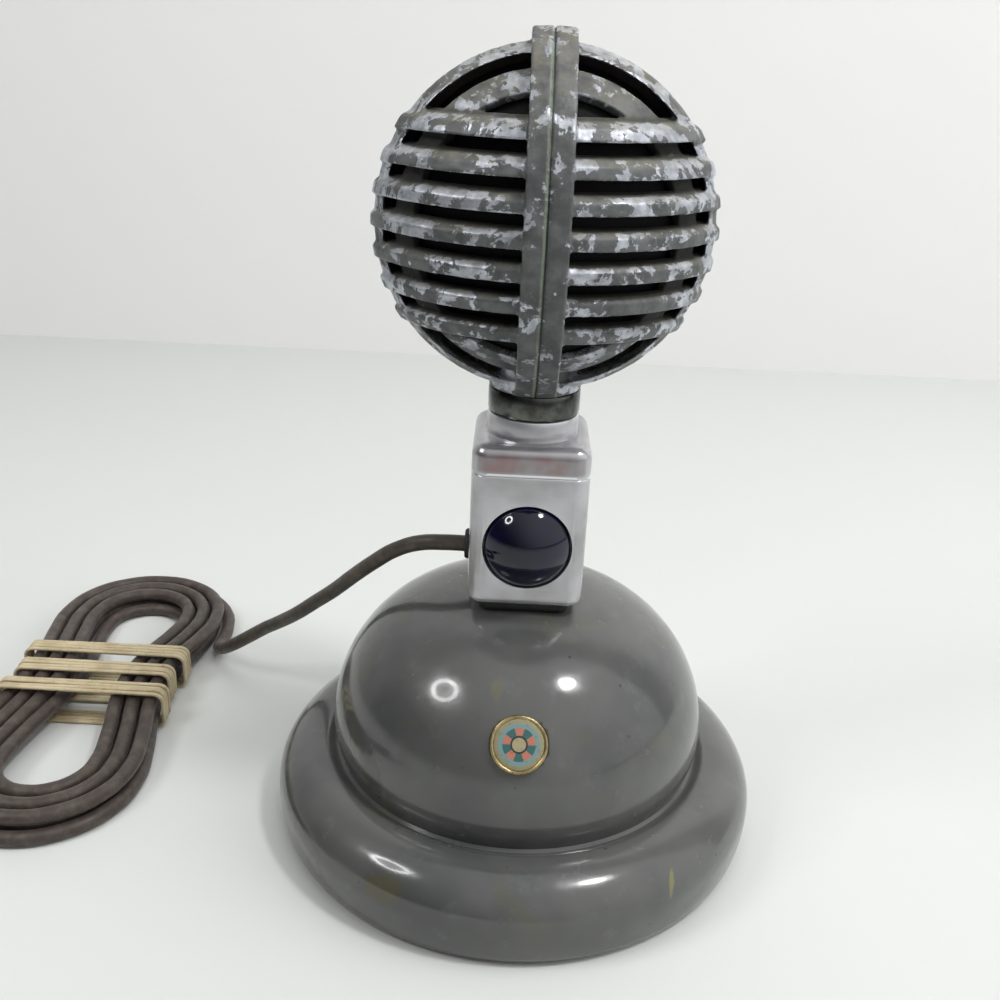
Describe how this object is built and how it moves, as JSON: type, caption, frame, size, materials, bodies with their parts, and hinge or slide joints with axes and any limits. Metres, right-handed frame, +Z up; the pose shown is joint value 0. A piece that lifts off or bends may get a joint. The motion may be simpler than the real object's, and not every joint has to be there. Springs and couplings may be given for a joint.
{
  "type": "crystal microphone",
  "caption": "Round ribbed microphone head on a push-to-talk switch and a two-tier bell base, with a long cord tied in a hank.",
  "frame": {"origin": "on the table, under the middle of the round base", "axes": "+Z up along the stand, -Y out of the front with the push button, +X to the right of someone who faces the front"},
  "size_m": [0.2082, 0.1936, 0.1816],
  "materials": {
    "base_enamel": "glossy grey enamel on pressed steel",
    "head_paint": "dark grey paint, worn to the zinc on its edges",
    "switch_chrome": "dull worn plating",
    "dark_nickel": "polished dark nickel",
    "steel": "bright turned steel",
    "iron": "rough casting",
    "brass": "turned brass",
    "leaf_bronze": "rolled spring bronze",
    "contact_silver": "turned silver rivet",
    "felt": "pressed wool felt",
    "black_rubber": "moulded rubber",
    "badge_paint": "enamel in flat colours",
    "button_plastic": "polished phenolic",
    "fibre_board": "brown laminated board",
    "cord_rubber": "brown-grey rubber cord",
    "band_rubber": "cream rubber bands",
    "wire_plastic": "insulated wire",
    "gauze": "blackened wire gauze",
    "cartridge_tin": "pressed aluminium",
    "foil": "thin bright foil",
    "crystal": "waxed salt crystal with foil faces",
    "plug_bakelite": "black phenolic"
  },
  "bodies": {
    "stand": {"base_shell": "base_enamel", "badge_rim": "brass", "badge_face": "badge_paint", "badge_clip": "steel", "neck_gasket": "black_rubber", "stand_stud": "steel", "stud_washer": "steel", "stud_nut": "steel", "tie_rod": "steel", "ballast_weight": "iron", "ballast_nut": "steel", "bottom_cover": "fibre_board", "cover_screws": "steel", "felt_pad": "felt", "switch_body": "switch_chrome", "switch_cap": "switch_chrome", "case_screws": "steel", "return_spring": "steel", "guide_plate": "steel", "contact_stack": "fibre_board", "stack_screws": "steel", "moving_leaf_root": "leaf_bronze", "fixed_leaf": "leaf_bronze", "fixed_contact": "contact_silver", "socket_insulator": "fibre_board", "socket_contact": "brass", "switch_wires": "wire_plastic", "cord_grommet": "black_rubber", "cord_inner_end": "cord_rubber", "cord_lead": "cord_rubber", "cord_hank": "cord_rubber", "tie_bands": "band_rubber", "plug_shell": "plug_bakelite", "plug_barrel": "steel", "plug_insulator": "plug_bakelite"},
    "push_button": {"button_cap": "button_plastic", "button_plunger": "brass"},
    "switch_leaf": {"moving_leaf": "leaf_bronze", "moving_contact": "contact_silver"},
    "ring": {"coupling_ring": "dark_nickel"},
    "head": {"connector_sleeve": "steel", "sleeve_nut": "brass", "sleeve_insulator": "fibre_board", "contact_pin": "brass", "left_shell": "head_paint", "right_shell": "head_paint", "shell_screws": "steel", "left_gauze": "gauze", "right_gauze": "gauze", "baffle_plate": "fibre_board", "cartridge_gasket": "black_rubber", "cartridge_case": "cartridge_tin", "cartridge_cover": "cartridge_tin", "diaphragm": "foil", "drive_pin": "brass", "crystal_element": "crystal", "crystal_pads": "black_rubber", "cartridge_screws": "steel", "terminal_lugs": "brass", "head_leads": "wire_plastic"}
  },
  "joints": [
    {"name": "button_press", "type": "slide", "parent": "stand", "child": "push_button", "axis": [0, 1, 0], "range_m": [0, 0.0025], "stiffness_N_per_m": 600, "springref_m": -0.002, "deforming": ["return_spring"]},
    {"name": "leaf_flex", "type": "hinge", "parent": "stand", "child": "switch_leaf", "pos_m": [0, 0.00245, 0.0875], "axis": [1, 0, 0], "range_deg": [0, 13.2]},
    {"name": "head_lift", "type": "slide", "parent": "stand", "child": "head", "axis": [0, 0, 1], "range_m": [0, 0.0027]},
    {"name": "ring_turn", "type": "hinge", "parent": "head", "child": "ring", "pos_m": [0, 0, 0.107], "axis": [0, 0, 1], "range_deg": [0, 1034]}
  ],
  "couplings": [
    {"joint": "leaf_flex", "follows": "button_press", "rad_per_m": 90.2},
    {"joint": "ring_turn", "follows": "head_lift", "rad_per_m": 6679}
  ]
}
